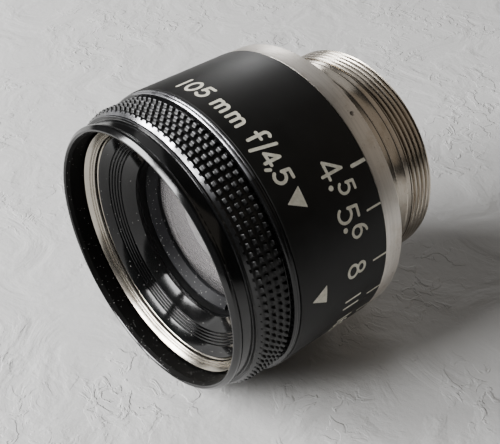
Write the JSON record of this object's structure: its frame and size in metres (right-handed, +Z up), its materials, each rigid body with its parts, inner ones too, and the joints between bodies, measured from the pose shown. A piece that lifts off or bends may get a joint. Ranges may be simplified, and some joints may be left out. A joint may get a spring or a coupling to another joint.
{
  "type": "enlarging lens",
  "caption": "Barrel-mounted enlarging lens lying on its side, with knurled aperture ring, engraved stop scale, leaf iris, glasses and threaded rear mount.",
  "frame": {"origin": "on the optical axis at the shoulder where the mounting collar leaves the silver flange", "axes": "+Y along the optical axis towards the rear thread, +Z up with the lens lying on its side, front glass looking towards -Y"},
  "size_m": [0.0505, 0.0473, 0.0504],
  "materials": {
    "silver_flange": "satin turned",
    "turned_alloy": "black anodised",
    "silver_liner": "bright turned",
    "black_baffle": "gloss black",
    "black_cell": "matt black",
    "black_keeper": "dusty black",
    "coated_glass": "single-coated",
    "iris_brass": "blackened",
    "blade_steel": "blued matt",
    "spring_steel": "bright",
    "screw_steel": "blackened",
    "dark_fill": "paint fill",
    "black_grip": "gloss black anodised",
    "black_sleeve": "satin black anodised"
  },
  "bodies": {
    "barrel": {"mount_flange": "silver_flange", "inner_barrel": "turned_alloy", "front_liner_ring": "silver_liner", "front_baffle": "black_baffle", "front_cell": "black_cell", "front_element": "coated_glass", "second_element": "coated_glass", "element_spacer": "black_cell", "front_retaining_ring": "black_keeper", "iris_base_plate": "iris_brass", "iris_retaining_ring": "iris_brass", "rear_cell": "black_cell", "rear_flint_element": "coated_glass", "rear_crown_element": "coated_glass", "rear_retaining_ring": "black_keeper", "friction_spring": "spring_steel", "index_dot": "dark_fill"},
    "aperture_control": {"grip_ring": "black_grip", "grip_set_screw": "screw_steel", "scale_sleeve": "black_sleeve", "drive_screw": "screw_steel", "iris_cam_ring": "iris_brass"},
    "blade_01": {"blade_01": "blade_steel"},
    "blade_02": {"blade_02": "blade_steel"},
    "blade_03": {"blade_03": "blade_steel"},
    "blade_04": {"blade_04": "blade_steel"},
    "blade_05": {"blade_05": "blade_steel"},
    "blade_06": {"blade_06": "blade_steel"},
    "blade_07": {"blade_07": "blade_steel"},
    "blade_08": {"blade_08": "blade_steel"},
    "blade_09": {"blade_09": "blade_steel"},
    "blade_10": {"blade_10": "blade_steel"}
  },
  "joints": [
    {"name": "aperture_ring", "type": "hinge", "parent": "barrel", "child": "aperture_control", "pos_m": [0, 0, 0], "axis": [0, -1, 0], "range_deg": [0, 92]},
    {"name": "blade_01_pivot", "type": "hinge", "parent": "barrel", "child": "blade_01", "pos_m": [0, -0.0074, 0.0142], "axis": [0, -1, 0], "range_deg": [0, 46]},
    {"name": "blade_02_pivot", "type": "hinge", "parent": "barrel", "child": "blade_02", "pos_m": [-0.00835, -0.0074, 0.01149], "axis": [0, -1, 0], "range_deg": [0, 46]},
    {"name": "blade_03_pivot", "type": "hinge", "parent": "barrel", "child": "blade_03", "pos_m": [-0.0135, -0.0074, 0.00439], "axis": [0, -1, 0], "range_deg": [0, 46]},
    {"name": "blade_04_pivot", "type": "hinge", "parent": "barrel", "child": "blade_04", "pos_m": [-0.0135, -0.0074, -0.00439], "axis": [0, -1, 0], "range_deg": [0, 46]},
    {"name": "blade_05_pivot", "type": "hinge", "parent": "barrel", "child": "blade_05", "pos_m": [-0.00835, -0.0074, -0.01149], "axis": [0, -1, 0], "range_deg": [0, 46]},
    {"name": "blade_06_pivot", "type": "hinge", "parent": "barrel", "child": "blade_06", "pos_m": [0, -0.0074, -0.0142], "axis": [0, -1, 0], "range_deg": [0, 46]},
    {"name": "blade_07_pivot", "type": "hinge", "parent": "barrel", "child": "blade_07", "pos_m": [0.00835, -0.0074, -0.01149], "axis": [0, -1, 0], "range_deg": [0, 46]},
    {"name": "blade_08_pivot", "type": "hinge", "parent": "barrel", "child": "blade_08", "pos_m": [0.0135, -0.0074, -0.00439], "axis": [0, -1, 0], "range_deg": [0, 46]},
    {"name": "blade_09_pivot", "type": "hinge", "parent": "barrel", "child": "blade_09", "pos_m": [0.0135, -0.0074, 0.00439], "axis": [0, -1, 0], "range_deg": [0, 46]},
    {"name": "blade_10_pivot", "type": "hinge", "parent": "barrel", "child": "blade_10", "pos_m": [0.00835, -0.0074, 0.01149], "axis": [0, -1, 0], "range_deg": [0, 46]}
  ],
  "couplings": [
    {"joint": "blade_01_pivot", "follows": "aperture_ring", "ratio": 0.5},
    {"joint": "blade_02_pivot", "follows": "aperture_ring", "ratio": 0.5},
    {"joint": "blade_03_pivot", "follows": "aperture_ring", "ratio": 0.5},
    {"joint": "blade_04_pivot", "follows": "aperture_ring", "ratio": 0.5},
    {"joint": "blade_05_pivot", "follows": "aperture_ring", "ratio": 0.5},
    {"joint": "blade_06_pivot", "follows": "aperture_ring", "ratio": 0.5},
    {"joint": "blade_07_pivot", "follows": "aperture_ring", "ratio": 0.5},
    {"joint": "blade_08_pivot", "follows": "aperture_ring", "ratio": 0.5},
    {"joint": "blade_09_pivot", "follows": "aperture_ring", "ratio": 0.5},
    {"joint": "blade_10_pivot", "follows": "aperture_ring", "ratio": 0.5}
  ]
}
